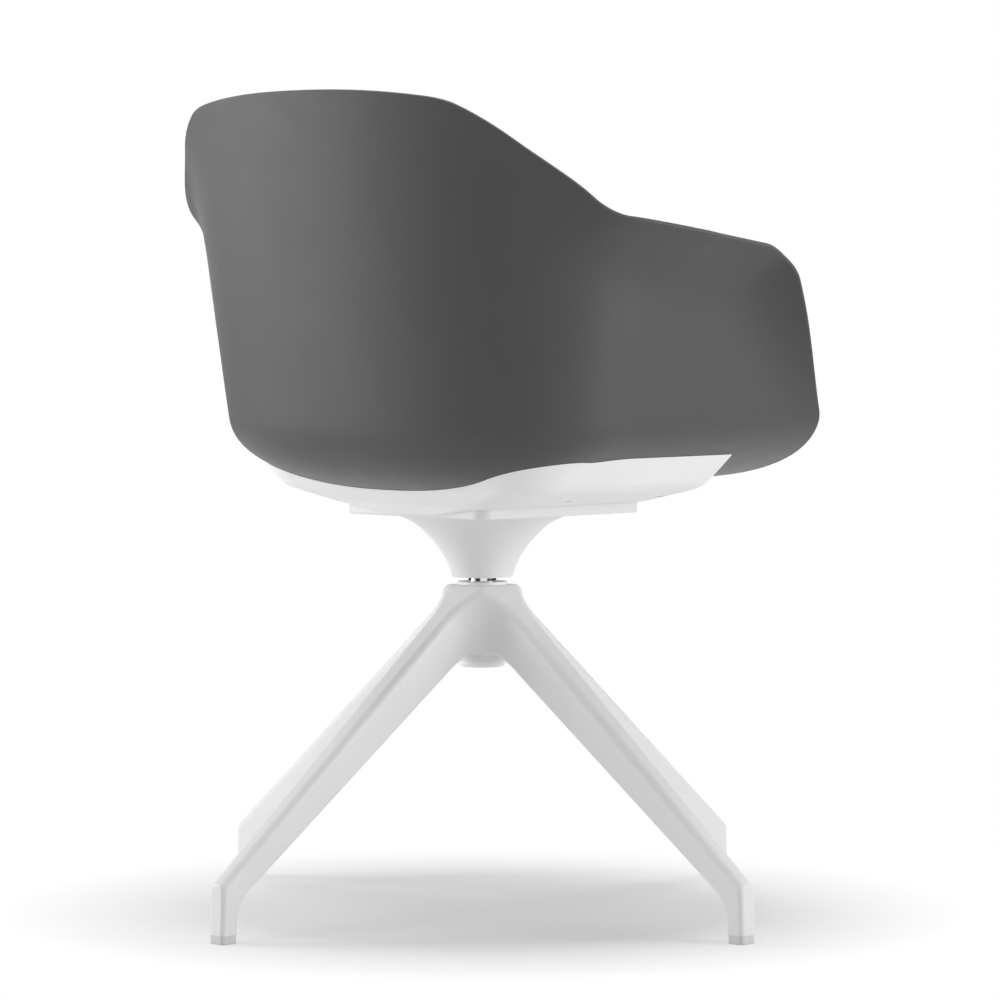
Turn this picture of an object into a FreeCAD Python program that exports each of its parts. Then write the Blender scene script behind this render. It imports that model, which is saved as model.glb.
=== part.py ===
"""Visitor chair: moulded bucket shell with arms on a swivel bracket, a short column and a four-leg base.

Millimetres, +Z up. The origin is on the floor under the swivel axis, and the seat faces -Y. The four legs
lie on the X and Y axes. "Ahead" and "behind" measure along the seat's facing direction from that axis.
"""
import FreeCAD, Part
import Sketcher
import math
import os
import re

Vector = FreeCAD.Vector
UP = Vector(0, 0, 1)
SIDE = Vector(1, 0, 0)
FORE = Vector(0, 1, 0)
ORIGIN = Vector(0, 0, 0)

# Every independent size, with what it measures
SIZES = [
    # base
    ("glide_high", 8.5, "height of a glide below the leg"),
    ("glide_inset", 0.3, "how far a glide stands in from the foot's faces"),
    ("glide_round", 1.0, "rounding of a glide's lower edge"),
    ("peg_dia", 8.0, "peg of a glide"),
    ("peg_long", 12.0, "length of that peg"),
    ("peg_room", 1.0, "room above the peg in its hole"),
    ("foot_wide", 21.0, "foot across the leg"),
    ("foot_deep", 20.5, "foot along the leg"),
    ("foot_reach", 359.0, "swivel axis to the foot's outer face at the floor"),
    ("foot_lean", 2.0, "how far the knee stands in from the foot"),
    ("foot_round", 5.0, "rounding of the foot's outer edges and the knee"),
    ("knee_high", 56.7, "height of the knee"),
    ("leg_root_wide", 31.0, "leg's width carried back to the swivel axis"),
    ("leg_top_rise", 346.7, "leg's top line carried back to the swivel axis"),
    ("leg_low_rise", 285.7, "leg's lower line carried back to the swivel axis"),
    ("leg_low_foot", 37.4, "height where the lower line would meet the foot's inner face"),
    ("leg_low_arc", 40.0, "arc from the lower line into the foot"),
    ("leg_top_round", 8.0, "rounding of the leg's top edges"),
    ("leg_low_round", 4.0, "rounding of the leg's lower edges"),
    ("hub_top", 326.5, "height of the hub"),
    ("hub_fillet", 46.0, "concave rounding between two legs, in plan"),
    ("hub_low", 258.0, "flat underside of the hub"),
    ("hub_arch_round", 16.0, "rounding where the hub's underside meets a leg's"),
    # column
    ("column_dia", 48.0, "outside of the column tube"),
    ("column_bore", 40.0, "inside of the column tube"),
    ("column_drop", 76.5, "length of the column tube below the hub's top"),
    ("ring_dia", 49.5, "top ring"),
    ("ring_high", 2.8, "height of the top ring above the hub"),
    ("ring_spigot", 3.0, "spigot of the top ring in the column"),
    ("ring_play", 0.4, "gap between top ring and spindle"),
    ("cap_high", 6.0, "height of the end cap below the column"),
    ("cap_floor", 4.0, "thickness of the end cap's floor"),
    ("cap_chamfer", 3.0, "chamfer of the end cap"),
    ("cap_spigot", 3.5, "spigot of the end cap in the column"),
    ("cap_spigot_wall", 2.0, "wall of that spigot"),
    # spindle and bearing
    ("spindle_dia", 28.0, "spindle"),
    ("spindle_show", 4.7, "spindle that shows between top ring and bracket"),
    ("spindle_tip", 1.2, "spindle's end above the column's lower end"),
    ("collar_dia", 38.0, "collar of the spindle"),
    ("collar_high", 6.5, "height of the collar"),
    ("collar_room", 1.0, "room between collar and top ring"),
    ("race_thick", 3.0, "bearing race"),
    ("race_play", 0.1, "room between a race and what it doesn't turn with"),
    ("ball_dia", 4.0, "bearing ball"),
    ("ball_play", 0.02, "gap between a ball and what it runs on"),
    ("ball_circle", 34.0, "circle of the ball centres"),
    ("cage_thick", 1.6, "ball cage"),
    ("cage_land", 0.6, "cage beside a ball's hole"),
    ("bush_play", 0.03, "running fit of the spindle in its bushes"),
    ("upper_bush_high", 22.0, "upper guide bush"),
    ("lower_bush_high", 20.0, "lower guide bush"),
    ("clip_thick", 1.6, "retaining clip"),
    ("clip_dia", 34.0, "outside of the clip"),
    ("clip_slot", 7.0, "opening of the clip"),
    ("clip_bite", 1.2, "depth of the clip's groove in the spindle"),
    ("clip_play", 0.05, "room of the clip in its groove"),
    ("clip_edge", 1.3, "spindle left below the groove"),
    ("clip_washer_dia", 37.0, "washer above the clip"),
    ("clip_washer_thick", 1.5, "thickness of that washer"),
    ("clip_washer_play", 0.1, "gap between washer and bush, and washer and spindle"),
    # swivel bracket
    ("stem_dia", 60.0, "bracket's stem at its lower end"),
    ("stem_mid_dia", 108.5, "stem at the height stem_mid_high"),
    ("stem_mid_high", 41.3, "that height above the stem's lower end"),
    ("stem_flare_dia", 184.0, "stem where it runs into the plate"),
    ("stem_high", 63.3, "height of the stem"),
    ("stem_low_arc", 92.0, "radius of the stem's lower curve"),
    ("stem_top_arc", 64.0, "radius of the stem's upper curve"),
    ("spindle_grip", 56.0, "length of the spindle in the bracket"),
    ("plate_thick", 12.0, "bracket plate"),
    ("plate_long", 227.0, "plate from front to rear"),
    ("plate_wide", 197.0, "plate from side to side"),
    ("plate_ahead", 16.0, "plate's middle ahead of the swivel axis"),
    ("plate_corner", 14.0, "plate's corners"),
    ("plate_edge", 1.5, "plate's lower edge rounding"),
    ("screw_span_wide", 140.0, "bracket screws, side to side"),
    ("screw_span_long", 160.0, "bracket screws, front to rear"),
    ("screw_dia", 6.0, "bracket screw"),
    ("screw_play", 0.3, "room round that screw in its holes"),
    ("screw_head_dia", 11.0, "screw's head"),
    ("screw_head_high", 5.0, "height of the head"),
    ("screw_key", 5.0, "hexagon socket, across flats"),
    ("screw_key_deep", 3.0, "depth of that socket"),
    ("screw_end", 0.6, "screw's end below the insert's top"),
    ("washer_dia", 18.0, "washer under the head"),
    ("washer_thick", 1.6, "thickness of that washer"),
    ("sink_dia", 20.0, "counterbore for head and washer"),
    ("sink_deep", 8.0, "depth of that counterbore"),
    ("sleeve_dia", 16.0, "spacer sleeve between plate and shell"),
    ("sleeve_high", 8.5, "height of the sleeve"),
    ("insert_dia", 9.0, "threaded insert"),
    ("insert_high", 7.0, "length of the insert"),
    ("boss_dia", 24.0, "shell's boss round an insert"),
    # cover
    ("cover_wall", 3.0, "wall of the cover"),
    ("cover_keel_half", 50.0, "cover's keel under its floor, half its width"),
    ("cover_keel_behind", 102.0, "keel behind the axis"),
    ("cover_keel_ahead", 100.0, "keel ahead of the axis"),
    ("cover_keel_round", 20.0, "corners of the keel"),
    ("cover_keel_taper", 4.0, "how much narrower each half of the keel is at its front"),
    ("cover_keel_deep", 9.0, "keel below the floor"),
    ("cover_floor_half", 116.0, "cover's floor, half its width"),
    ("cover_floor_behind", 107.0, "floor behind the axis"),
    ("cover_floor_ahead", 128.0, "floor ahead of the axis"),
    ("cover_floor_round", 30.0, "corners of the floor"),
    ("cover_floor_taper", 6.0, "how much narrower each half of the floor is at its front"),
    ("cover_crease_half", 184.0, "crease between floor and side, half its width"),
    ("cover_crease_behind", 128.0, "crease behind the axis"),
    ("cover_crease_ahead", 137.0, "crease ahead of the axis"),
    ("cover_crease_round", 45.0, "corners of the crease"),
    ("cover_crease_taper", 6.0, "how much narrower each half of the crease is at its front"),
    ("cover_crease_rise", 15.5, "crease above the floor"),
    ("cover_brim_half", 228.0, "cover's brim, half its width"),
    ("cover_brim_behind", 154.0, "brim behind the axis"),
    ("cover_brim_ahead", 146.0, "brim ahead of the axis"),
    ("cover_brim_round", 80.0, "corners of the brim"),
    ("cover_brim_taper", 10.0, "how much narrower each half of the brim is at its front"),
    ("cover_brim_rise", 56.5, "brim's plane above the floor, before it meets the shell"),
    ("cover_bend", 0.22, "share of floor and side that the crease's rounding takes"),
    ("cover_front_round", 8.0, "cover's front corners"),
    ("cover_gap", 0.4, "gap between brim and shell"),
    ("plate_play", 0.4, "room round the bracket plate in the cover's floor"),
    ("cover_screw_half", 134.0, "cover screws, half their distance across"),
    ("cover_screw_behind", 17.0, "rear cover screws behind the axis"),
    ("cover_screw_ahead", 116.0, "front cover screws ahead of the axis"),
    ("cover_screw_dia", 3.5, "cover screw"),
    ("cover_screw_play", 0.15, "room round that screw in the cover"),
    ("cover_head_dia", 8.0, "its head"),
    ("cover_head_high", 2.6, "height of its head"),
    ("cover_head_slot", 1.2, "width of the driver slot"),
    ("cover_head_slot_deep", 1.1, "depth of the driver slot"),
    ("cover_pit_dia", 10.0, "recess for the head"),
    ("cover_pit_rise", 9.5, "seat of the head above the cover's floor"),
    ("cover_post_dia", 14.0, "cover's post round that recess"),
    ("cover_post_rise", 13.5, "top of the post above the cover's floor"),
    ("shell_post_dia", 9.0, "shell's post that takes a cover screw"),
    ("cover_screw_bite", 8.5, "length of a cover screw in the shell"),
    # shell
    ("shell_wall", 5.0, "shell's wall"),
    ("rim_round", 2.0, "rounding of the rim's edges"),
    ("seat_low", 421.0, "seat's underside on the midline, at the axis"),
    ("seat_rise", 0.02, "rise of the seat's midline, per length ahead"),
    ("back_behind", 211.0, "back's midline behind the axis, where it leaves the seat"),
    ("back_lean", 0.135, "lean of the back's midline, per height"),
    ("corner_deep", 150.0, "depth of the rounded corner between back and sides"),
    ("corner_high", 76.5, "height of the rounded edge between seat and walls"),
    ("corner_power", 2.3, "fullness of the corner, across"),
    ("crook_power", 2.4, "fullness of the crook between seat and back"),
    ("wall_half", 250.0, "half the width over the side walls at wall_level"),
    ("wall_level", 520.0, "height where that width is measured"),
    ("flare_back", 0.051, "outward lean of the walls at the back, per height"),
    ("flare_arm", 0.19, "outward lean of the walls at the arms, per height"),
    ("splay_behind", 200.0, "where the lean starts to grow, behind the axis"),
    ("lip_arm", 37.0, "how far the lip turns out along the arms"),
    ("lip_back", 16.5, "how far the lip turns out at the shoulders"),
    ("lip_band", 75.0, "width of the lip below the rim"),
    ("lip_blend", 13.6, "softness of the lip round the rim's corners"),
    ("lip_grow_behind", 192.0, "where the lip starts to grow, behind the axis"),
    ("lip_full_behind", 127.0, "where the lip is full, behind the axis"),
    ("lip_fade_low", 440.0, "height where the front edge has no lip"),
    ("lip_fade_high", 640.0, "height where the front edge has its full lip"),
    ("peak_behind", 261.0, "rim's top, behind the axis"),
    ("peak_high", 815.8, "rim's top"),
    ("shoulder_behind", 227.3, "shoulder of the rim, behind the axis"),
    ("shoulder_high", 800.0, "height of the shoulder"),
    ("shoulder_round", 40.0, "rounding of the shoulder"),
    ("elbow_behind", 124.4, "where the slope meets the arm, behind the axis"),
    ("elbow_high", 690.8, "height of that point"),
    ("elbow_round", 63.0, "rounding there"),
    ("arm_ahead", 105.8, "arm's front corner, ahead of the axis"),
    ("arm_high", 658.2, "height of that corner"),
    ("arm_round", 84.0, "rounding of that corner"),
    ("front_ahead", 225.4, "bend of the front edge, ahead of the axis"),
    ("front_high", 494.4, "height of that bend"),
    ("front_round", 80.0, "rounding of that bend"),
    ("seat_ahead", 257.0, "seat's front edge, ahead of the axis"),
    ("seat_front_high", 424.0, "height of the seat's front edge"),
    ("ray_ahead", 120.0, "line about which the shell is laid out, ahead of the axis"),
    ("ray_high", 860.0, "height of that line"),
    ("ray_clear", 150.0, "least distance of the shell's layout from that line"),
]
BALLS = 12
RAYS = 65
STEPS = 42
RAY_FIRST = -20.0
RAY_LAST = 88.0
LIP_LIMIT = 1.4
NAMES = {name for name, _, _ in SIZES}

os.makedirs("parts", exist_ok=True)
doc = FreeCAD.newDocument("visitor_chair")
sheet = doc.addObject("Spreadsheet::Sheet", "Sizes")
for row, (name, size, note) in enumerate(SIZES, start=1):
    sheet.set(f"A{row}", name)
    sheet.set(f"B{row}", str(size))
    sheet.setAlias(f"B{row}", name)
    sheet.set(f"C{row}", note)
doc.recompute()
nodes = []


def bound(formula):
    """A formula of size names, as an expression of the sheet."""
    return re.sub(r"[a-z_]+", lambda word: f"Sizes.{word[0]}" if word[0] in NAMES else word[0], formula)


def value(formula):
    return float(sheet.evalExpression(bound(formula)))


def tie(item, prop, formula):
    item.setExpression(prop, bound(formula))


def keep(item, label):
    """Name a finished sub-part."""
    item.Label = label
    nodes.append(item)
    return item


# Heights that several pieces share
RING_TOP = "(hub_top + ring_high)"
BRACKET_LOW = f"({RING_TOP} + spindle_show)"
PLATE_LOW = f"({BRACKET_LOW} + stem_high)"
FLOOR = f"({PLATE_LOW} + plate_thick)"
BOSS_LOW = f"({FLOOR} + sleeve_high)"
COLUMN_LOW = "(hub_top - column_drop)"
COLLAR_TOP = "(hub_top - ring_spigot - collar_room)"
COLLAR_LOW = f"({COLLAR_TOP} - collar_high)"
BALL_HIGH = f"({COLLAR_LOW} - race_thick - ball_play - ball_dia / 2)"
RACE_LOW = f"({BALL_HIGH} - ball_dia / 2 - ball_play - race_thick)"
CLIP_LOW = f"({COLUMN_LOW} + spindle_tip + clip_edge)"
CLIP_TOP = f"({CLIP_LOW} + clip_thick)"
WASHER_TOP = f"({CLIP_TOP} + clip_play + clip_washer_thick)"
LOWER_BUSH = f"({WASHER_TOP} + clip_washer_play)"
BUSH_BORE = "(spindle_dia / 2 + bush_play)"


def new_body(name):
    return doc.addObject("PartDesign::Body", name)


def new_sketch(body, name, role, lift="0"):
    """Sketch on one of a body's own planes, raised along that plane's normal."""
    sketch = body.newObject("Sketcher::SketchObject", name)
    plane = next(item for item in body.Origin.OriginFeatures if item.Role == role)
    sketch.AttachmentSupport = (plane, "")
    sketch.MapMode = "FlatFace"
    if lift != "0":
        sketch.AttachmentOffset = FreeCAD.Placement(Vector(0, 0, value(lift)), FreeCAD.Rotation())
        tie(sketch, "AttachmentOffset.Base.z", lift)
    return sketch


def pin_point(sketch, shape, spot, across, along):
    """Hold one point of a sketch at its two named distances."""
    for kind, axis, formula in (("DistanceX", -2, across), ("DistanceY", -1, along)):
        if formula == "0":
            sketch.addConstraint(Sketcher.Constraint("PointOnObject", shape, spot, axis))
        else:
            index = sketch.addConstraint(Sketcher.Constraint(kind, -1, 1, shape, spot, value(formula)))
            tie(sketch, f"Constraints[{index}]", formula)


def arc_between(start, end, radius, turn):
    """Arc from start to end; turn is 1 for anticlockwise and -1 for clockwise."""
    first, last = (start, end) if turn > 0 else (end, start)
    chord = last - first
    height = math.sqrt(radius**2 - (chord.Length / 2) ** 2)
    centre = (first + last) / 2 + Vector(-chord.y, chord.x, 0).normalize() * height
    angles = [math.atan2(point.y - centre.y, point.x - centre.x) for point in (first, last)]
    return Part.ArcOfCircle(Part.Circle(centre, UP, radius), angles[0], angles[1])


def outline(body, name, role, corners, lift="0"):
    """Closed sketch through named corners. A corner with a radius and a turn starts an arc, else a line."""
    sketch = new_sketch(body, name, role, lift)
    spots = [Vector(value(corner[0]), value(corner[1]), 0) for corner in corners]
    starts = []
    for index, corner in enumerate(corners):
        after = spots[(index + 1) % len(spots)]
        if len(corner) == 2:
            sketch.addGeometry(Part.LineSegment(spots[index], after))
            starts.append((1, 2))
        else:
            sketch.addGeometry(arc_between(spots[index], after, value(corner[2]), corner[3]))
            starts.append((1, 2) if corner[3] > 0 else (2, 1))
    for index, corner in enumerate(corners):
        follow = (index + 1) % len(corners)
        link = Sketcher.Constraint("Coincident", index, starts[index][1], follow, starts[follow][0])
        sketch.addConstraint(link)
        pin_point(sketch, index, starts[index][0], corner[0], corner[1])
        if len(corner) > 2:
            radius = sketch.addConstraint(Sketcher.Constraint("Radius", index, value(corner[2])))
            tie(sketch, f"Constraints[{radius}]", corner[2])
    return sketch


def circles(body, name, spots, diameter, lift):
    """Level sketch of equal circles."""
    sketch = new_sketch(body, name, "XY_Plane", lift)
    for index, (across, along) in enumerate(spots):
        centre = Vector(value(across), value(along), 0)
        sketch.addGeometry(Part.Circle(centre, UP, value(diameter) / 2))
        pin_point(sketch, index, 3, across, along)
        size = sketch.addConstraint(Sketcher.Constraint("Diameter", index, value(diameter)))
        tie(sketch, f"Constraints[{size}]", diameter)
    return sketch


def pad(body, sketch, length, name):
    feature = body.newObject("PartDesign::Pad", name)
    feature.Profile = sketch
    tie(feature, "Length", length)
    doc.recompute()
    return feature


def pocket(body, sketch, name, length=None):
    """Cut upwards by a length, or right through both ways where none is given."""
    before = body.Shape.Volume
    feature = body.newObject("PartDesign::Pocket", name)
    feature.Profile = sketch
    if length is None:
        feature.Type = "ThroughAll"
        feature.SideType = "Symmetric"
    else:
        feature.Reversed = True
        tie(feature, "Length", length)
    doc.recompute()
    if body.Shape.Volume > before - 1.0:
        raise RuntimeError(f"{name} cuts nothing")
    return feature


def fillet(body, name, radius, wanted):
    """Round the edges of a body that a test picks."""
    tip = body.Tip
    names = [f"Edge{index}" for index, edge in enumerate(tip.Shape.Edges, start=1) if wanted(edge)]
    feature = body.newObject("PartDesign::Fillet", name)
    feature.Base = (tip, names)
    tie(feature, "Radius", radius)
    doc.recompute()
    return feature


def turned(name, corners, across="0", along="0"):
    """Body turned about a vertical axis from corners given as radius and height."""
    body = new_body(name)
    sketch = outline(body, f"{name}_profile", "XZ_Plane", corners)
    feature = body.newObject("PartDesign::Revolution", f"{name}_turn")
    feature.Profile = sketch
    feature.ReferenceAxis = (sketch, ["V_Axis"])
    feature.Angle = 360
    tie(body, "Placement.Base.x", across)
    tie(body, "Placement.Base.y", along)
    doc.recompute()
    return body


def ring(name, inner, outer, low, high, across="0", along="0"):
    return turned(name, [(inner, low), (outer, low), (outer, high), (inner, high)], across, along)


def joined(kind, name, base, tool):
    """Boolean of two objects."""
    item = doc.addObject(f"Part::{kind}", name)
    item.Base = base
    item.Tool = tool
    doc.recompute()
    return item


def mirrored(name, source, normal, along="0"):
    item = doc.addObject("Part::Mirroring", name)
    item.Source = source
    item.Normal = normal
    tie(item, "Base.y", along)
    doc.recompute()
    return item


def four_corners(label, source, middle):
    """One piece and its mirror images left, right, front and rear, as one node."""
    twin = mirrored(f"{label}_twin", source, SIDE)
    pair = [mirrored(f"{label}_{index}", item, FORE, middle) for index, item in enumerate((source, twin))]
    group = doc.addObject("Part::Compound", label)
    group.Links = [source, twin] + pair
    doc.recompute()
    return keep(group, label)


# Base: one leg with its quarter of the hub, then its mirror images
LEG_TAPER = "((leg_root_wide - foot_wide) / 2 / foot_reach)"
TAPER_SIDE = f"sqrt(1 + {LEG_TAPER}^2)"
FILLET_MID = f"((hub_fillet * {TAPER_SIDE} + leg_root_wide / 2) / (1 + {LEG_TAPER}))"
VALLEY = f"({FILLET_MID} - hub_fillet / sqrt(2))"
ROOT_X = f"({FILLET_MID} - hub_fillet * {LEG_TAPER} / {TAPER_SIDE})"
ROOT_Y = f"({FILLET_MID} - hub_fillet / {TAPER_SIDE})"
KNEE_X = "(foot_reach - foot_lean)"
TOP_SLOPE = f"((leg_top_rise - knee_high) / {KNEE_X})"
HUB_X = f"((leg_top_rise - hub_top) / {TOP_SLOPE})"
FOOT_IN = "(foot_reach - foot_deep)"
LOW_SLOPE = f"((leg_low_rise - leg_low_foot) / {FOOT_IN})"
LOW_SIDE = f"sqrt(1 + {LOW_SLOPE}^2)"
LOW_RUN = f"(leg_low_arc * ({LOW_SIDE} - {LOW_SLOPE}))"
LOW_START = f"((leg_low_rise - hub_low) / {LOW_SLOPE})"
FOOT_MID = "(foot_reach - foot_deep / 2)"


def make_leg():
    """One leg with its quarter of the hub, with sharp edges."""
    body = new_body("leg")
    plan = [("0", "0"), (VALLEY, VALLEY, "hub_fillet", 1), (ROOT_X, ROOT_Y), ("foot_reach", "foot_wide / 2"),
            ("foot_reach", "-foot_wide / 2"), (ROOT_X, f"-{ROOT_Y}", "hub_fillet", 1), (VALLEY, f"-{VALLEY}")]
    pad(body, outline(body, "leg_plan", "XY_Plane", plan, "glide_high"), "hub_top - glide_high", "leg_block")
    above = [(HUB_X, "hub_top"), (KNEE_X, "knee_high"), ("foot_reach", "glide_high"),
             ("foot_reach + foot_deep", "glide_high"), ("foot_reach + foot_deep", "hub_top + foot_deep"),
             (HUB_X, "hub_top + foot_deep")]
    pocket(body, outline(body, "leg_above", "XZ_Plane", above), "leg_top_cut")
    below = [("-foot_deep", "hub_low"), (LOW_START, "hub_low"),
             (f"{FOOT_IN} - {LOW_RUN} / {LOW_SIDE}", f"leg_low_foot + {LOW_RUN} * {LOW_SLOPE} / {LOW_SIDE}",
              "leg_low_arc", -1),
             (FOOT_IN, f"leg_low_foot - {LOW_RUN}"), (FOOT_IN, "glide_high - foot_deep"),
             ("-foot_deep", "glide_high - foot_deep")]
    pocket(body, outline(body, "leg_below", "XZ_Plane", below), "leg_low_cut")
    hole = circles(body, "peg_hole_plan", [(FOOT_MID, "0")], "peg_dia", "glide_high")
    pocket(body, hole, "peg_hole", "peg_long + peg_room")
    return body


def reach_of(spot):
    """Distance out along the leg that a point belongs to."""
    return max(abs(spot.x), abs(spot.y))


def spots_of(edge):
    """Both ends and the middle of an edge."""
    middle = edge.valueAt((edge.FirstParameter + edge.LastParameter) / 2)
    return [edge.valueAt(edge.FirstParameter), middle, edge.valueAt(edge.LastParameter)]


def in_arch(edge):
    """Whether an edge crosses a leg where its underside meets the hub's."""
    level = all(abs(spot.z - value("hub_low")) < 1e-3 for spot in spots_of(edge))
    return level and all(abs(reach_of(spot) - value(LOW_START)) < 1e-3 for spot in spots_of(edge))


def on_top(edge):
    """Whether an edge bounds the top of a leg or of the hub."""
    top, slope, rise = value("hub_top"), value(TOP_SLOPE), value("leg_top_rise")
    level = all(abs(spot.z - min(top, rise - slope * reach_of(spot))) < 1e-3 for spot in spots_of(edge))
    inside = min(math.hypot(spot.x, spot.y) for spot in spots_of(edge)) > value("column_dia") / 2 + 1e-3
    return level and inside and min(reach_of(spot) for spot in spots_of(edge)) < value(KNEE_X) - 1.0


def on_foot(edge):
    """Whether an edge bounds a foot's outer face or the knee."""
    outside = all(reach_of(spot) > value(KNEE_X) - value("leg_top_round") for spot in spots_of(edge))
    return outside and edge.CenterOfMass.z > value("glide_high") + 1e-3


def on_underside(edge):
    """Whether an edge runs along a leg's lower sides, the foot's inner face or the arch."""
    inner, slope, rise = value(FOOT_IN), value(LOW_SLOPE), value("leg_low_rise")
    spots = spots_of(edge)
    line = [min(value("hub_low"), rise - slope * min(reach_of(spot), inner)) for spot in spots]
    low = all(spot.z < top + 1e-3 for spot, top in zip(spots, line))
    side = all(min(abs(spot.x), abs(spot.y)) > value("foot_wide") / 4 for spot in spots)
    outside = min(math.hypot(spot.x, spot.y) for spot in spots) > value("column_dia") / 2 + 1e-3
    off_sole = edge.CenterOfMass.z > value("glide_high") + 1e-3
    return low and side and outside and off_sole and max(reach_of(spot) for spot in spots) < inner + 1e-3


def make_base():
    leg = make_leg()
    across = mirrored("leg_across", leg, Vector(1, -1, 0))
    legs = [leg, mirrored("leg_opposite", leg, SIDE), across, mirrored("leg_across_opposite", across, FORE)]
    star = doc.addObject("Part::MultiFuse", "legs")
    star.Shapes = legs
    star.Refine = True
    doc.recompute()
    body = new_body("base_casting")
    body.BaseFeature = star
    doc.recompute()
    seat = circles(body, "column_seat_plan", [("0", "0")], "column_dia", "glide_high")
    pocket(body, seat, "column_seat", "hub_top")
    fillet(body, "arch", "hub_arch_round", in_arch)
    fillet(body, "top_edges", "leg_top_round", on_top)
    fillet(body, "knee_and_foot", "foot_round", on_foot)
    fillet(body, "low_edges", "leg_low_round", on_underside)
    keep(body, "base_casting")


def make_glide(label, angle):
    """Foot glide with its peg, laid out along X and turned to its leg."""
    body = new_body(label)
    half = "(foot_wide / 2 - glide_inset)"
    inner, outer = f"({FOOT_IN} + glide_inset)", "(foot_reach - glide_inset)"
    plan = [(inner, f"-{half}"), (outer, f"-{half}"), (outer, half), (inner, half)]
    pad(body, outline(body, f"{label}_plan", "XY_Plane", plan), "glide_high", f"{label}_block")
    corner = "foot_round - glide_inset"
    fillet(body, f"{label}_corners", corner, lambda edge: abs(edge.Vertexes[0].Z - edge.Vertexes[-1].Z) > 1.0)
    fillet(body, f"{label}_sole", "glide_round", lambda edge: edge.BoundBox.ZMax < 1e-3)
    peg = circles(body, f"{label}_peg_plan", [(FOOT_MID, "0")], "peg_dia", "glide_high")
    pad(body, peg, "peg_long", f"{label}_peg")
    body.Placement = FreeCAD.Placement(ORIGIN, FreeCAD.Rotation(UP, angle))
    keep(body, label)


# Column, spindle and thrust bearing
def make_column():
    keep(ring("column_tube", "column_bore / 2", "column_dia / 2", COLUMN_LOW, "hub_top"), "column_tube")
    bore = "spindle_dia / 2 + ring_play"
    spigot = "hub_top - ring_spigot"
    profile = [(bore, spigot), ("column_bore / 2", spigot), ("column_bore / 2", "hub_top"),
               ("ring_dia / 2", "hub_top"), ("ring_dia / 2", RING_TOP), (bore, RING_TOP)]
    keep(turned("column_top_ring", profile), "column_top_ring")
    low = f"({COLUMN_LOW} - cap_high)"
    inside = "(column_bore / 2 - cap_spigot_wall)"
    top = f"{COLUMN_LOW} + cap_spigot"
    profile = [("0", low), ("column_dia / 2 - cap_chamfer", low), ("column_dia / 2", f"{low} + cap_chamfer"),
               ("column_dia / 2", COLUMN_LOW), ("column_bore / 2", COLUMN_LOW), ("column_bore / 2", top),
               (inside, top), (inside, f"{low} + cap_floor"), ("0", f"{low} + cap_floor")]
    keep(turned("column_end_cap", profile), "column_end_cap")
    fit = "column_bore / 2"
    upper = ring("upper_guide_bush", BUSH_BORE, fit, f"{RACE_LOW} - upper_bush_high", RACE_LOW)
    keep(upper, "upper_guide_bush")
    lower = ring("lower_guide_bush", BUSH_BORE, fit, LOWER_BUSH, f"{LOWER_BUSH} + lower_bush_high")
    keep(lower, "lower_guide_bush")


def make_spindle():
    rod, tip = "spindle_dia / 2", f"({COLUMN_LOW} + spindle_tip)"
    groove = "spindle_dia / 2 - clip_bite"
    groove_low, groove_top = f"{CLIP_LOW} - clip_play", f"{CLIP_TOP} + clip_play"
    top = f"({BRACKET_LOW} + spindle_grip)"
    profile = [("0", tip), (rod, tip), (rod, groove_low), (groove, groove_low), (groove, groove_top),
               (rod, groove_top), (rod, COLLAR_LOW), ("collar_dia / 2", COLLAR_LOW),
               ("collar_dia / 2", COLLAR_TOP), (rod, COLLAR_TOP), (rod, top), ("0", top)]
    keep(turned("spindle", profile), "spindle")


def make_bearing():
    bore = "spindle_dia / 2 + race_play"
    upper = ring("thrust_race_upper", bore, "collar_dia / 2", f"{COLLAR_LOW} - race_thick", COLLAR_LOW)
    keep(upper, "thrust_race_upper")
    lower = ring("thrust_race_lower", bore, "column_bore / 2", RACE_LOW, f"{RACE_LOW} + race_thick")
    keep(lower, "thrust_race_lower")
    land = "(ball_dia / 2 + cage_land)"
    blank = ring("cage_blank", f"ball_circle / 2 - {land}", f"ball_circle / 2 + {land}",
                 f"{BALL_HIGH} - cage_thick / 2", f"{BALL_HIGH} + cage_thick / 2")
    balls, holes = [], []
    for index in range(BALLS):
        angle = 360.0 * index / BALLS
        ball = doc.addObject("Part::Sphere", f"ball_{index}")
        tie(ball, "Radius", "ball_dia / 2")
        hole = doc.addObject("Part::Cylinder", f"ball_hole_{index}")
        tie(hole, "Radius", "ball_dia / 2 + ball_play")
        tie(hole, "Height", "ball_dia")
        for item, height in ((ball, BALL_HIGH), (hole, f"{BALL_HIGH} - ball_dia / 2")):
            tie(item, "Placement.Base.x", f"ball_circle / 2 * cos({angle} deg)")
            tie(item, "Placement.Base.y", f"ball_circle / 2 * sin({angle} deg)")
            tie(item, "Placement.Base.z", height)
        balls.append(ball)
        holes.append(hole)
    group = doc.addObject("Part::Compound", "bearing_balls")
    group.Links = balls
    drill = doc.addObject("Part::Compound", "ball_holes")
    drill.Links = holes
    doc.recompute()
    keep(group, "bearing_balls")
    keep(joined("Cut", "ball_cage", blank, drill), "ball_cage")


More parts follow.
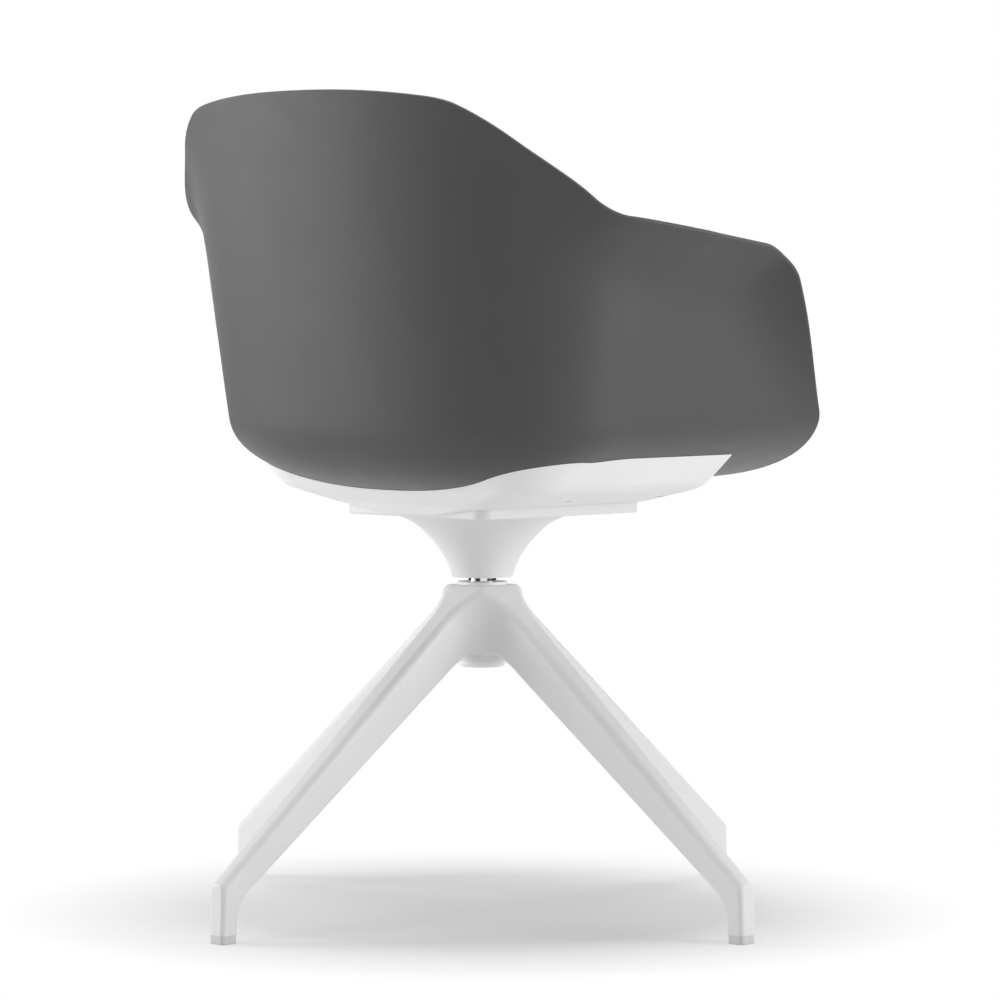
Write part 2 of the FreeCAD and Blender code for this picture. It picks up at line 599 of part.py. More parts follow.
def make_clip():
    keep(ring("clip_washer", "spindle_dia / 2 + clip_washer_play", "clip_washer_dia / 2",
              f"{CLIP_TOP} + clip_play", WASHER_TOP), "clip_washer")
    closed = ring("clip_ring", "spindle_dia / 2 - clip_bite + clip_play", "clip_dia / 2", CLIP_LOW, CLIP_TOP)
    gap = doc.addObject("Part::Box", "clip_gap")
    tie(gap, "Length", "clip_dia")
    tie(gap, "Width", "clip_slot")
    tie(gap, "Height", "2 * clip_thick")
    tie(gap, "Placement.Base.y", "-clip_slot / 2")
    tie(gap, "Placement.Base.z", f"{CLIP_LOW} - clip_thick / 2")
    doc.recompute()
    keep(joined("Cut", "retaining_clip", closed, gap), "retaining_clip")


# Swivel bracket and what fastens it to the shell
SCREW_X = "screw_span_wide / 2"
SCREW_Y = "(screw_span_long / 2 - plate_ahead)"
SCREW_FRONT = "(-screw_span_long / 2 - plate_ahead)"
SCREW_SPOTS = [(across, along) for across in (SCREW_X, f"-{SCREW_X}") for along in (SCREW_Y, SCREW_FRONT)]


def make_bracket():
    body = new_body("swivel_bracket")
    bore, blind = "spindle_dia / 2", f"({BRACKET_LOW} + spindle_grip)"
    stem = [(bore, BRACKET_LOW), ("stem_dia / 2", BRACKET_LOW, "stem_low_arc", -1),
            ("stem_mid_dia / 2", f"{BRACKET_LOW} + stem_mid_high", "stem_top_arc", -1),
            ("stem_flare_dia / 2", PLATE_LOW), ("0", PLATE_LOW), ("0", blind), (bore, blind)]
    sketch = outline(body, "stem_profile", "XZ_Plane", stem)
    turn = body.newObject("PartDesign::Revolution", "stem")
    turn.Profile = sketch
    turn.ReferenceAxis = (sketch, ["V_Axis"])
    turn.Angle = 360
    doc.recompute()
    rear, front = "(plate_long / 2 - plate_ahead)", "(-plate_long / 2 - plate_ahead)"
    plate = [("plate_wide / 2", front), ("plate_wide / 2", rear), ("-plate_wide / 2", rear),
             ("-plate_wide / 2", front)]
    pad(body, outline(body, "plate_plan", "XY_Plane", plate, PLATE_LOW), "plate_thick", "plate")
    low = value(PLATE_LOW)
    fillet(body, "plate_corners", "plate_corner",
           lambda edge: edge.BoundBox.ZMin > low - 1e-3 and edge.BoundBox.ZLength > value("plate_thick") - 1e-3)
    half_stem = value("stem_flare_dia") / 4

    def round_plate(edge):
        level = abs(edge.BoundBox.ZMin - low) < 1e-3 and abs(edge.BoundBox.ZMax - low) < 1e-3
        return level and math.hypot(edge.CenterOfMass.x, edge.CenterOfMass.y) > half_stem

    fillet(body, "plate_rim", "plate_edge", round_plate)
    clear = circles(body, "screw_hole_plan", SCREW_SPOTS, "screw_dia + 2 * screw_play", PLATE_LOW)
    pocket(body, clear, "screw_holes", "plate_thick")
    pocket(body, circles(body, "sink_plan", SCREW_SPOTS, "sink_dia", PLATE_LOW), "sinks", "sink_deep")
    keep(body, "swivel_bracket")


def make_bracket_fasteners():
    middle = "-plate_ahead"
    seat = f"({PLATE_LOW} + sink_deep)"
    under = f"({seat} - washer_thick)"
    hole = "(screw_dia / 2 + screw_play)"
    tip = f"({BOSS_LOW} + insert_high - screw_end)"
    washer = ring("bracket_washer", hole, "washer_dia / 2", under, seat, SCREW_X, SCREW_Y)
    four_corners("bracket_washers", washer, middle)
    low = f"{under} - screw_head_high"
    profile = [("0", low), ("screw_head_dia / 2", low), ("screw_head_dia / 2", under), ("screw_dia / 2", under),
               ("screw_dia / 2", tip), ("0", tip)]
    blank = turned("screw_blank", profile, SCREW_X, SCREW_Y)
    key = doc.addObject("Part::Prism", "screw_socket")
    key.Polygon = 6
    tie(key, "Circumradius", "screw_key / sqrt(3)")
    tie(key, "Height", "2 * screw_key_deep")
    tie(key, "Placement.Base.x", SCREW_X)
    tie(key, "Placement.Base.y", SCREW_Y)
    tie(key, "Placement.Base.z", f"{under} - screw_head_high - screw_key_deep")
    doc.recompute()
    four_corners("bracket_screws", joined("Cut", "bracket_screw", blank, key), middle)
    sleeve = ring("spacer_sleeve", hole, "sleeve_dia / 2", FLOOR, BOSS_LOW, SCREW_X, SCREW_Y)
    four_corners("spacer_sleeves", sleeve, middle)
    top = f"{BOSS_LOW} + insert_high"
    insert = ring("shell_insert", "screw_dia / 2", "insert_dia / 2", BOSS_LOW, top, SCREW_X, SCREW_Y)
    four_corners("shell_inserts", insert, middle)


# Shell: its half width is a formula over the side view, "ahead" and "high"
COVER_MID = "((cover_screw_behind - cover_screw_ahead) / 2)"
COVER_SCREW_X = "cover_screw_half"
COVER_SCREW_Y = "cover_screw_behind"
SEAT = {name: value(name) for name in NAMES}
RIM = [(-SEAT["peak_behind"], SEAT["peak_high"], 0.0),
       (-SEAT["shoulder_behind"], SEAT["shoulder_high"], SEAT["shoulder_round"]),
       (-SEAT["elbow_behind"], SEAT["elbow_high"], SEAT["elbow_round"]),
       (SEAT["arm_ahead"], SEAT["arm_high"], SEAT["arm_round"]),
       (SEAT["front_ahead"], SEAT["front_high"], SEAT["front_round"]),
       (SEAT["seat_ahead"], SEAT["seat_front_high"], 0.0)]


def ease(share):
    """Smooth step from 0 to 1."""
    share = min(max(share, 0.0), 1.0)
    return share * share * (3 - 2 * share)


def below_rim_line(ahead, high, first, last):
    """Distance inside one straight run of the rim."""
    run, rise = last[0] - first[0], last[1] - first[1]
    return ((ahead - first[0]) * rise - (high - first[1]) * run) / math.hypot(run, rise)


def below_rim(ahead, high):
    """Soft distance inside the slope, the arm and the front edge of the rim."""
    slope, arm, front = (below_rim_line(ahead, high, RIM[index], RIM[index + 1]) for index in (1, 2, 3))
    soft = SEAT["lip_blend"]
    upper = (slope + arm + math.hypot(slope - arm, soft)) / 2
    return (upper + front - math.hypot(upper - front, soft)) / 2


def edge_share(ahead, high):
    """0 on the flat of the walls, 1 on the midline of seat and back."""
    above_seat = high - (SEAT["seat_low"] + SEAT["seat_rise"] * ahead)
    rise = high - SEAT["seat_low"] - SEAT["corner_high"]
    before_back = ahead + SEAT["back_behind"] + SEAT["back_lean"] * rise
    up = max(0.0, 1 - above_seat / SEAT["corner_high"])
    back = max(0.0, 1 - before_back / SEAT["corner_deep"])
    power = SEAT["crook_power"]
    return (up**power + back**power) ** (1 / power)


def half_width(ahead, high):
    """Half the shell's outer width at a point of the side view."""
    power = SEAT["corner_power"]
    fullness = (1 - min(1.0, edge_share(ahead, high)) ** power) ** (1 / power)
    splay = ease((ahead + SEAT["splay_behind"]) / SEAT["splay_behind"])
    flare = SEAT["flare_back"] + (SEAT["flare_arm"] - SEAT["flare_back"]) * splay
    wall = SEAT["wall_half"] + flare * (high - SEAT["wall_level"])
    grown = ease((ahead + SEAT["lip_grow_behind"]) / (SEAT["lip_grow_behind"] - SEAT["lip_full_behind"]))
    reach = SEAT["lip_back"] + (SEAT["lip_arm"] - SEAT["lip_back"]) * grown
    reach *= ease((high - SEAT["lip_fade_low"]) / (SEAT["lip_fade_high"] - SEAT["lip_fade_low"]))
    turned_out = min(max(0.0, 1 - below_rim(ahead, high) / SEAT["lip_band"]), LIP_LIMIT) ** 3
    return (wall + reach * turned_out) * fullness


def midline_distance(run, rise):
    """Distance from the layout line to the shell's midline along one ray."""
    near, far = SEAT["ray_clear"], 2 * SEAT["ray_high"]
    while far - near > 1e-9:
        middle = (near + far) / 2
        inside = edge_share(SEAT["ray_ahead"] + run * middle, SEAT["ray_high"] + rise * middle) < 1
        near, far = (middle, far) if inside else (near, middle)
    return near


def shell_surface():
    """Outer face of the shell, past its rim: rays fan out from a line ahead of the arms."""
    rows = []
    for ray in range(RAYS):
        angle = math.radians(RAY_FIRST + (RAY_LAST - RAY_FIRST) * ray / (RAYS - 1))
        run, rise = -math.sin(angle), -math.cos(angle)
        whole = midline_distance(run, rise)
        points = []
        for step in range(-STEPS, STEPS + 1):
            inward = (abs(step) / STEPS) ** SEAT["corner_power"] * (whole - SEAT["ray_clear"])
            ahead = SEAT["ray_ahead"] + run * (whole - inward)
            high = SEAT["ray_high"] + rise * (whole - inward)
            across = math.copysign(half_width(ahead, high), step) if step else 0.0
            points.append(Vector(across, -ahead, high))
        rows.append(points)
    surface = Part.BSplineSurface()
    surface.interpolate(rows)
    return surface.toShape()


def rounded_wire(corners):
    """Closed wire through corners of the side view, (ahead, high, radius)."""
    spots = [Vector(0, -ahead, high) for ahead, high, _ in corners]
    runs = []
    for index, spot in enumerate(spots):
        back = (spots[index - 1] - spot).normalize()
        on = (spots[(index + 1) % len(spots)] - spot).normalize()
        radius = corners[index][2]
        half = back.getAngle(on) / 2
        cut = radius / math.tan(half)
        crown = spot + (back + on).normalize() * (radius / math.sin(half) - radius) if radius else spot
        runs.append((spot + back * cut, crown, spot + on * cut))
    edges = []
    for index, (start, crown, end) in enumerate(runs):
        if corners[index][2]:
            edges.append(Part.Arc(start, crown, end).toShape())
        edges.append(Part.LineSegment(end, runs[(index + 1) % len(runs)][0]).toShape())
    return Part.Wire(edges)


def inside_rim():
    """Everything inside the rim, as seen from the side."""
    room = SEAT["lip_band"]
    low, far = SEAT["seat_low"] - room, -SEAT["peak_behind"] - room
    around = [(far, SEAT["peak_high"] + room, 0.0), (-SEAT["peak_behind"], SEAT["peak_high"] + room, 0.0)]
    around += RIM + [(SEAT["seat_ahead"], low, 0.0), (far, low, 0.0)]
    face = Part.Face(rounded_wire(around))
    reach = 2 * SEAT["wall_half"]
    face.translate(SIDE * -reach)
    return face.extrude(SIDE * 2 * reach)


def screw_spots():
    return [(value(across), value(along)) for across, along in SCREW_SPOTS]


def cover_screw_spots():
    return [(side * value(COVER_SCREW_X), value(along)) for side in (1, -1)
            for along in (COVER_SCREW_Y, "-cover_screw_ahead")]


def is_cylinder(face):
    return isinstance(face.Surface, Part.Cylinder)


def post_faces(outer, column, hole):
    """Faces of a hollow post below the shell's outer face: side, foot, hole and the hole's end."""
    pieces = next(face for face in column.Faces if is_cylinder(face)).generalFuse([outer])[0].Faces
    side = min((face for face in pieces if is_cylinder(face)), key=lambda face: face.CenterOfMass.z)
    foot = min(column.Faces, key=lambda face: face.CenterOfMass.z).cut(hole).Faces[0]
    bore = next(face for face in hole.Faces if is_cylinder(face))
    end = max(hole.Faces, key=lambda face: face.CenterOfMass.z)
    return [side, foot, bore, end]


def make_shell(face):
    trimmed = face.common(inside_rim()).Faces[0]
    blank = trimmed.makeOffsetShape(-SEAT["shell_wall"], 0.01, fill=True)
    skins = sorted(blank.Faces, key=lambda item: item.Area)[-2:]
    blank = blank.makeFillet(SEAT["rim_round"], [edge for skin in skins for edge in skin.Edges])
    outer = max((item for item in blank.Faces if isinstance(item.Surface, Part.BSplineSurface)),
                key=lambda item: item.Area)
    bosses = [(spot, "boss_dia", BOSS_LOW, "insert_dia", "insert_high") for spot in screw_spots()]
    bosses += [(spot, "shell_post_dia", f"{FLOOR} + cover_post_rise", "cover_screw_dia", "cover_screw_bite")
               for spot in cover_screw_spots()]
    columns, faces = [], [item for item in blank.Faces if not item.isSame(outer)]
    for (across, along), outside, low, bore, depth in bosses:
        foot = Vector(across, along, value(low))
        columns.append(Part.makeCylinder(value(outside) / 2, SEAT["corner_high"], foot))
        faces += post_faces(outer, columns[-1], Part.makeCylinder(value(bore) / 2, value(depth), foot))
    faces.append(outer.cut(columns).Faces[0])
    skin = Part.makeCompound(faces)
    skin.sewShape()
    item = doc.addObject("Part::Feature", "seat_shell")
    item.Shape = Part.makeSolid(skin.Shells[0])
    item.Placement = FreeCAD.Placement()
    keep(item, "seat_shell")


# Cover under the seat
STAGE_SIZES = ("half", "behind", "ahead", "round", "taper")
STAGE_RISES = {"keel": -SEAT["cover_keel_deep"], "floor": 0.0, "crease": SEAT["cover_crease_rise"], "brim": SEAT["cover_brim_rise"]}
COVER_STAGES = [[SEAT[f"cover_{stage}_{size}"] for size in STAGE_SIZES] + [rise]
                for stage, rise in STAGE_RISES.items()]


def between(first, last, share):
    """Stage of the cover part of the way from one to another."""
    return [start + (end - start) * share for start, end in zip(first, last)]


def soft_stages():
    """Stages of the cover from keel to brim, with its crease rounded as a curve."""
    keel, floor, crease, brim = COVER_STAGES
    low = between(crease, floor, SEAT["cover_bend"])
    high = between(crease, brim, SEAT["cover_bend"])
    shares = (0.25, 0.5, 0.75)
    bend = [between(between(low, crease, share), between(crease, high, share), share) for share in shares]
    return [keel, floor, low] + bend + [high, brim]


def stage_outline(stage, inset):
    """Level outline of the cover at one stage, inset and raised by a wall."""
    half, behind, ahead, radius, taper, rise = stage
    high = value(FLOOR) + rise + inset
    wide, narrow = half - inset, half - taper - inset
    rear, front = behind - inset, inset - ahead
    rear_round, front_round = radius - inset, SEAT["cover_front_round"] - inset
    spots = [Vector(narrow, front, high), Vector(wide, rear, high), Vector(-wide, rear, high),
             Vector(-narrow, front, high)]
    runs = []
    for index, spot in enumerate(spots):
        back = (spots[index - 1] - spot).normalize()
        on = (spots[(index + 1) % 4] - spot).normalize()
        size = front_round if index in (0, 3) else rear_round
        bend = back.getAngle(on) / 2
        crown = (back + on).normalize() * (size / math.sin(bend) - size)
        runs.append((spot + back * size / math.tan(bend), spot + crown, spot + on * size / math.tan(bend)))
    edges = []
    for index, (start, crown, end) in enumerate(runs):
        edges.append(Part.Arc(start, crown, end).toShape())
        edges.append(Part.LineSegment(end, runs[(index + 1) % 4][0]).toShape())
    return Part.Wire(edges)


def make_cover(face):
    wall, keel = SEAT["cover_wall"], SEAT["cover_keel_deep"]
    floor = value(FLOOR)
    solid = Part.makeLoft([stage_outline(stage, 0.0) for stage in soft_stages()], True, True)
    pan = solid.cut(Part.makeLoft([stage_outline(stage, wall) for stage in COVER_STAGES], True, True))
    posts, holes = [], []
    for across, along in cover_screw_spots():
        foot = Vector(across, along, floor)
        post = Part.makeCylinder(value("cover_post_dia") / 2, value("cover_post_rise"), foot)
        posts.append(post.common(solid))
        holes.append(Part.makeCylinder(value("cover_pit_dia") / 2, value("cover_pit_rise"), foot))
        bore = value("cover_screw_dia / 2 + cover_screw_play")
        holes.append(Part.makeCylinder(bore, SEAT["cover_brim_rise"], foot))
    wide, long, play = value("plate_wide"), value("plate_long"), SEAT["plate_play"]
    corner = Vector(-wide / 2 - play, -value("plate_ahead") - long / 2 - play, floor - 2 * keel)
    opening = Part.makeBox(wide + 2 * play, long + 2 * play, 2 * (keel + wall), corner)
    upright = [edge for edge in opening.Edges if edge.BoundBox.ZLength > keel]
    holes.append(opening.makeFillet(value("plate_corner") + play, upright))
    pan = pan.multiFuse(posts).cut(holes)
    reach, depth = SEAT["cover_brim_half"] * 1.2, SEAT["cover_brim_behind"] * 1.2
    front = SEAT["cover_brim_ahead"] * 1.2
    block = Part.makeBox(2 * reach, depth + front, 2 * SEAT["corner_high"],
                         Vector(-reach, -front, SEAT["seat_low"] - SEAT["corner_high"]))
    under = max(face.common(block).Faces, key=lambda item: item.Area)
    under.translate(UP * -SEAT["cover_gap"])
    pan = pan.cut(under.extrude(UP * 2 * SEAT["corner_high"]))
    item = doc.addObject("Part::Feature", "under_seat_cover")
    item.Shape = max(pan.Solids, key=lambda solid: solid.Volume)
    item.Placement = FreeCAD.Placement()
    keep(item, "under_seat_cover")


def make_cover_screws():
    seat = f"({FLOOR} + cover_pit_rise)"
    tip = f"({FLOOR} + cover_post_rise + cover_screw_bite)"
    low = f"({seat} - cover_head_high)"
    profile = [("0", low), ("cover_head_dia / 2", low), ("cover_head_dia / 2", seat),
               ("cover_screw_dia / 2", seat), ("cover_screw_dia / 2", tip), ("0", tip)]
    blank = turned("cover_screw_blank", profile, COVER_SCREW_X, COVER_SCREW_Y)
    slot = doc.addObject("Part::Box", "cover_screw_slot")
    tie(slot, "Length", "2 * cover_head_dia")
    tie(slot, "Width", "cover_head_slot")
    tie(slot, "Height", "2 * cover_head_slot_deep")
    tie(slot, "Placement.Base.x", f"{COVER_SCREW_X} - cover_head_dia")
    tie(slot, "Placement.Base.y", f"{COVER_SCREW_Y} - cover_head_slot / 2")
    tie(slot, "Placement.Base.z", f"{low} - cover_head_slot_deep")
    doc.recompute()
    four_corners("cover_screws", joined("Cut", "cover_screw", blank, slot), COVER_MID)


def write_parts():
    """Test every object and every sub-part, then write one file for each sub-part."""
    doc.recompute()
    for item in doc.Objects:
        if "Invalid" in item.State or "Error" in item.State:
            raise RuntimeError(f"{item.Label} failed: {item.State}")
    for item in nodes:
        if item.Shape.isNull() or not item.Shape.isValid():
            raise RuntimeError(f"{item.Label} has no valid shape")
    for item in nodes:
        item.Shape.exportStep(f"parts/{item.Label}.step")
        print(item.Label, len(item.Shape.Solids), round(item.Shape.Volume))


make_base()
for turns, glide_label in enumerate(("glide_left", "glide_rear", "glide_right", "glide_front")):
    make_glide(glide_label, 90 * turns)
make_column()
make_spindle()
make_bearing()
make_clip()
make_bracket()
make_bracket_fasteners()
outer_face = shell_surface()
make_shell(outer_face)
make_cover(outer_face)
make_cover_screws()
write_parts()
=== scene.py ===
"""Visitor chair: finishes, floor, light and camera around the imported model."""

import math

import bmesh
import bpy
from mathutils import Matrix, Vector

bl_info = {
    "name": "Visitor Chair",
    "version": (1, 0, 0),
    "blender": (4, 5, 0),
    "location": "View3D > Sidebar > Chair",
    "description": "Finishes and stages a swivel visitor chair with a moulded bucket shell",
    "category": "Object",
}

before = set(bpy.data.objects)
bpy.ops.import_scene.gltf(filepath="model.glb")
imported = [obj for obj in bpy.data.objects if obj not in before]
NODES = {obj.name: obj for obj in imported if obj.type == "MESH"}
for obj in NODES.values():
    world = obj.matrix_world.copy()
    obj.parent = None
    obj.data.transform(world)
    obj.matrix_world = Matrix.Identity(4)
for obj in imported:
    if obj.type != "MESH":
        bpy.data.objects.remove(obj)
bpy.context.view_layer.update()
MILLIMETRE = 0.001


def colour_value(label, note, default):
    """A colour that a user may change."""
    return bpy.props.FloatVectorProperty(name=label, description=note, subtype="COLOR", size=3,
                                         min=0.0, max=1.0, default=default)


def share_value(label, note, default):
    """A share from 0 to 1 that a user may change."""
    return bpy.props.FloatProperty(name=label, description=note, subtype="FACTOR",
                                   min=0.0, max=1.0, default=default)


def length_value(label, note, default):
    """A length in metres that a user may change."""
    return bpy.props.FloatProperty(name=label, description=note, subtype="DISTANCE", unit="LENGTH",
                                   min=0.0, default=default)


def power_value(label, default):
    """A lamp's power in watts that a user may change."""
    return bpy.props.FloatProperty(name=label, description="Power of this soft box in watts",
                                   min=0.0, default=default)


class ChairFinishes(bpy.types.PropertyGroup):
    """Colours, roughness and grain of the chair's materials."""

    shell_colour: colour_value("Shell", "Moulded seat shell", (0.0600, 0.0600, 0.0603))
    shell_roughness: share_value("Shell roughness", "How matt the shell is", 0.52)
    shell_sheen: share_value("Shell sheen", "Pale bloom of the grained plastic at its edges", 0.10)
    shell_grain: length_value("Shell grain", "Size of the moulded grain", 0.9 * MILLIMETRE)
    coat_colour: colour_value("Coat", "Powder coat of base and bracket", (0.80, 0.80, 0.795))
    coat_roughness: share_value("Coat roughness", "How matt the coat is", 0.42)
    coat_grain: length_value("Coat grain", "Size of the coat's orange peel", 1.6 * MILLIMETRE)
    cover_colour: colour_value("Cover", "Cover under the seat, and the column's caps", (0.90, 0.90, 0.895))
    cover_roughness: share_value("Cover roughness", "How matt the cover is", 0.50)
    cap_roughness: share_value("Cap roughness", "How matt the column's caps are", 0.38)
    spindle_colour: colour_value("Spindle", "Bright turned spindle", (0.75, 0.76, 0.78))
    spindle_roughness: share_value("Spindle roughness", "How matt the spindle is", 0.12)
    steel_colour: colour_value("Steel", "Races and balls of the bearing", (0.62, 0.63, 0.65))
    steel_roughness: share_value("Steel roughness", "How matt the bearing's steel is", 0.20)
    bush_colour: colour_value("Bushes", "Guide bushes and ball cage", (0.70, 0.69, 0.65))
    bush_roughness: share_value("Bush roughness", "How matt the bushes are", 0.45)
    zinc_colour: colour_value("Fasteners", "Plated screws, washers, sleeves and clip", (0.55, 0.56, 0.58))
    zinc_roughness: share_value("Fastener roughness", "How matt the plating is", 0.34)
    brass_colour: colour_value("Inserts", "Brass inserts in the shell", (0.78, 0.62, 0.30))
    brass_roughness: share_value("Insert roughness", "How matt the brass is", 0.30)
    glide_colour: colour_value("Glides", "Glides under the legs", (0.66, 0.66, 0.655))
    glide_roughness: share_value("Glide roughness", "How matt the glides are", 0.48)


class ChairStage(bpy.types.PropertyGroup):
    """Camera, floor and light."""

    camera_distance: length_value("Camera distance", "From the swivel axis, along the floor", 4.6)
    camera_height: length_value("Camera height", "Above the floor", 0.6356)
    aim_height: length_value("Aim height", "Point on the swivel axis in the picture's middle", 0.4106)
    focal_length: bpy.props.FloatProperty(name="Focal length", min=1.0, default=165.6,
                                          description="In millimetres on a 36 mm sensor")
    world_strength: share_value("Fill", "Strength of the even light all round", 0.47)
    floor_colour: colour_value("Floor", "Pale floor", (0.84, 0.84, 0.84))
    left_power: power_value("Left lamp", 48.0)
    right_power: power_value("Right lamp", 40.0)
    top_power: power_value("Top lamp", 38.0)


# Materials
NOISE_LOW = 0.3
NOISE_HIGH = 0.7
FAINT_CLOUDS = 0.012
COVER_CLOUDS = 0.015
PLASTIC_IOR = 1.49
COAT_IOR = 1.5


class Finish:
    """A material under construction, with its shader and its Object coordinates."""

    def __init__(self, name):
        self.material = bpy.data.materials.new(name)
        self.material.use_nodes = True
        self.tree = self.material.node_tree
        self.shader = self.tree.nodes["Principled BSDF"]
        self.place = self.tree.nodes.new("ShaderNodeTexCoord").outputs["Object"]

    def link(self, source, target):
        self.tree.links.new(source, target)

    def set(self, **sockets):
        """Constants on the shader's own sockets; an underscore stands for a space."""
        for name, value in sockets.items():
            self.shader.inputs[name.replace("_", " ")].default_value = value

    def noise(self, size, detail, stretch=None):
        """Noise whose features are about one size, in metres; stretch scales it along each axis."""
        texture = self.tree.nodes.new("ShaderNodeTexNoise")
        texture.inputs["Scale"].default_value = 1.0 / size
        texture.inputs["Detail"].default_value = detail
        place = self.place
        if stretch:
            mapping = self.tree.nodes.new("ShaderNodeMapping")
            mapping.inputs["Scale"].default_value = stretch
            self.link(self.place, mapping.inputs["Vector"])
            place = mapping.outputs["Vector"]
        self.link(place, texture.inputs["Vector"])
        return texture.outputs["Fac"]

    def span(self, source, low, high, near=NOISE_LOW, far=NOISE_HIGH):
        """Carry values from near to far onto the range from low to high."""
        node = self.tree.nodes.new("ShaderNodeMapRange")
        node.inputs["From Min"].default_value = near
        node.inputs["From Max"].default_value = far
        node.inputs["To Min"].default_value = low
        node.inputs["To Max"].default_value = high
        self.link(source, node.inputs["Value"])
        return node.outputs["Result"]

    def mottle(self, source, colour, change):
        """Base colour that varies with a noise, by a share either way."""
        ramp = self.tree.nodes.new("ShaderNodeValToRGB")
        darker, paler = ramp.color_ramp.elements
        darker.position = NOISE_LOW
        paler.position = NOISE_HIGH
        for element, factor in ((darker, 1.0 - change), (paler, 1.0 + change)):
            element.color = [min(1.0, part * factor) for part in colour] + [1.0]
        self.link(source, ramp.inputs["Fac"])
        self.link(ramp.outputs["Color"], self.shader.inputs["Base Color"])

    def roughen(self, source, low, high):
        """Roughness that varies with a noise between two values."""
        self.link(self.span(source, low, high), self.shader.inputs["Roughness"])

    def bump(self, source, depth, strength):
        """Relief of a depth in metres; each call adds to the one before it."""
        node = self.tree.nodes.new("ShaderNodeBump")
        node.inputs["Strength"].default_value = strength
        node.inputs["Distance"].default_value = depth
        self.link(source, node.inputs["Height"])
        normal = self.shader.inputs["Normal"]
        if normal.links:
            self.link(normal.links[0].from_socket, node.inputs["Normal"])
        self.link(node.outputs["Normal"], normal)


def moulded_plastic(name, colour, roughness, grain, depth, change=FAINT_CLOUDS):
    """Matt plastic with a fine moulded grain and slight clouding."""
    cloud_size = 90 * MILLIMETRE
    wipe_size = 35 * MILLIMETRE
    spread = 0.02
    finish = Finish(name)
    finish.mottle(finish.noise(cloud_size, detail=4.0), colour, change)
    finish.roughen(finish.noise(wipe_size, detail=5.0), roughness - spread, roughness + spread)
    finish.bump(finish.noise(grain, detail=2.0), depth, strength=0.5)
    finish.set(IOR=PLASTIC_IOR)
    return finish.material


def powder_coat(name, colour, roughness, grain):
    """Sprayed coat on a casting: orange peel over a faint waviness."""
    cloud_size = 120 * MILLIMETRE
    wipe_size = 28 * MILLIMETRE
    wave_size = 22 * MILLIMETRE
    wave_depth = 0.10 * MILLIMETRE
    peel_depth = 0.05 * MILLIMETRE
    spread = 0.05
    finish = Finish(name)
    finish.mottle(finish.noise(cloud_size, detail=3.0), colour, FAINT_CLOUDS)
    finish.roughen(finish.noise(wipe_size, detail=4.0), roughness - spread, roughness + spread)
    finish.bump(finish.noise(wave_size, detail=2.0), wave_depth, strength=0.4)
    finish.bump(finish.noise(grain, detail=2.0), peel_depth, strength=0.4)
    finish.set(IOR=COAT_IOR)
    return finish.material


def turned_metal(name, colour, roughness, lines):
    """Metal with the rings that turning leaves, one above the other along the swivel axis."""
    along_axis_only = (0.02, 0.02, 1.0)
    smoother = 0.6
    rougher = 1.5
    blotch_size = 12 * MILLIMETRE
    ring_depth = 0.01 * MILLIMETRE
    finish = Finish(name)
    rings = finish.noise(lines, detail=3.0, stretch=along_axis_only)
    finish.mottle(finish.noise(blotch_size, detail=3.0), colour, change=0.05)
    finish.roughen(rings, roughness * smoother, roughness * rougher)
    finish.bump(rings, ring_depth, strength=0.3)
    finish.set(Metallic=1.0)
    return finish.material


def plated_metal(name, colour, roughness):
    """Plated or cast small metal parts with a blotchy sheen."""
    blotch_size = 4 * MILLIMETRE
    grain = 0.8 * MILLIMETRE
    grain_depth = 0.01 * MILLIMETRE
    spread = 0.08
    finish = Finish(name)
    blotches = finish.noise(blotch_size, detail=4.0)
    finish.mottle(blotches, colour, change=0.10)
    finish.roughen(blotches, roughness - spread, roughness + spread)
    finish.bump(finish.noise(grain, detail=2.0), grain_depth, strength=0.4)
    finish.set(Metallic=1.0)
    return finish.material


def dress(material, *names):
    """Give CAD nodes one material."""
    for name in names:
        mesh = NODES[name].data
        mesh.materials.clear()
        mesh.materials.append(material)


class FinishShell(bpy.types.Operator):
    """Give the seat shell its matt moulded plastic"""

    bl_idname = "chair.finish_shell"
    bl_label = "Seat Shell"

    def execute(self, context):
        look = context.scene.chair_finishes
        plastic = moulded_plastic("shell_plastic", look.shell_colour, look.shell_roughness,
                                  grain=look.shell_grain, depth=0.06 * MILLIMETRE)
        shader = plastic.node_tree.nodes["Principled BSDF"]
        shader.inputs["Sheen Weight"].default_value = look.shell_sheen
        dress(plastic, "seat_shell")
        return {"FINISHED"}


class FinishCover(bpy.types.Operator):
    """Give the cover under the seat and the column's caps their white plastic"""

    bl_idname = "chair.finish_cover"
    bl_label = "Cover and Caps"

    def execute(self, context):
        look = context.scene.chair_finishes
        cover = moulded_plastic("cover_plastic", look.cover_colour, look.cover_roughness,
                                grain=1.1 * MILLIMETRE, depth=0.05 * MILLIMETRE, change=COVER_CLOUDS)
        dress(cover, "under_seat_cover")
        cap = moulded_plastic("cap_plastic", look.cover_colour, look.cap_roughness,
                              grain=0.8 * MILLIMETRE, depth=0.02 * MILLIMETRE, change=COVER_CLOUDS)
        dress(cap, "column_top_ring", "column_end_cap")
        return {"FINISHED"}


class FinishCastings(bpy.types.Operator):
    """Give base, bracket and column tube their powder coat"""

    bl_idname = "chair.finish_castings"
    bl_label = "Coated Castings"

    def execute(self, context):
        look = context.scene.chair_finishes
        coat = powder_coat("white_coat", look.coat_colour, look.coat_roughness, look.coat_grain)
        dress(coat, "base_casting", "swivel_bracket", "column_tube")
        return {"FINISHED"}


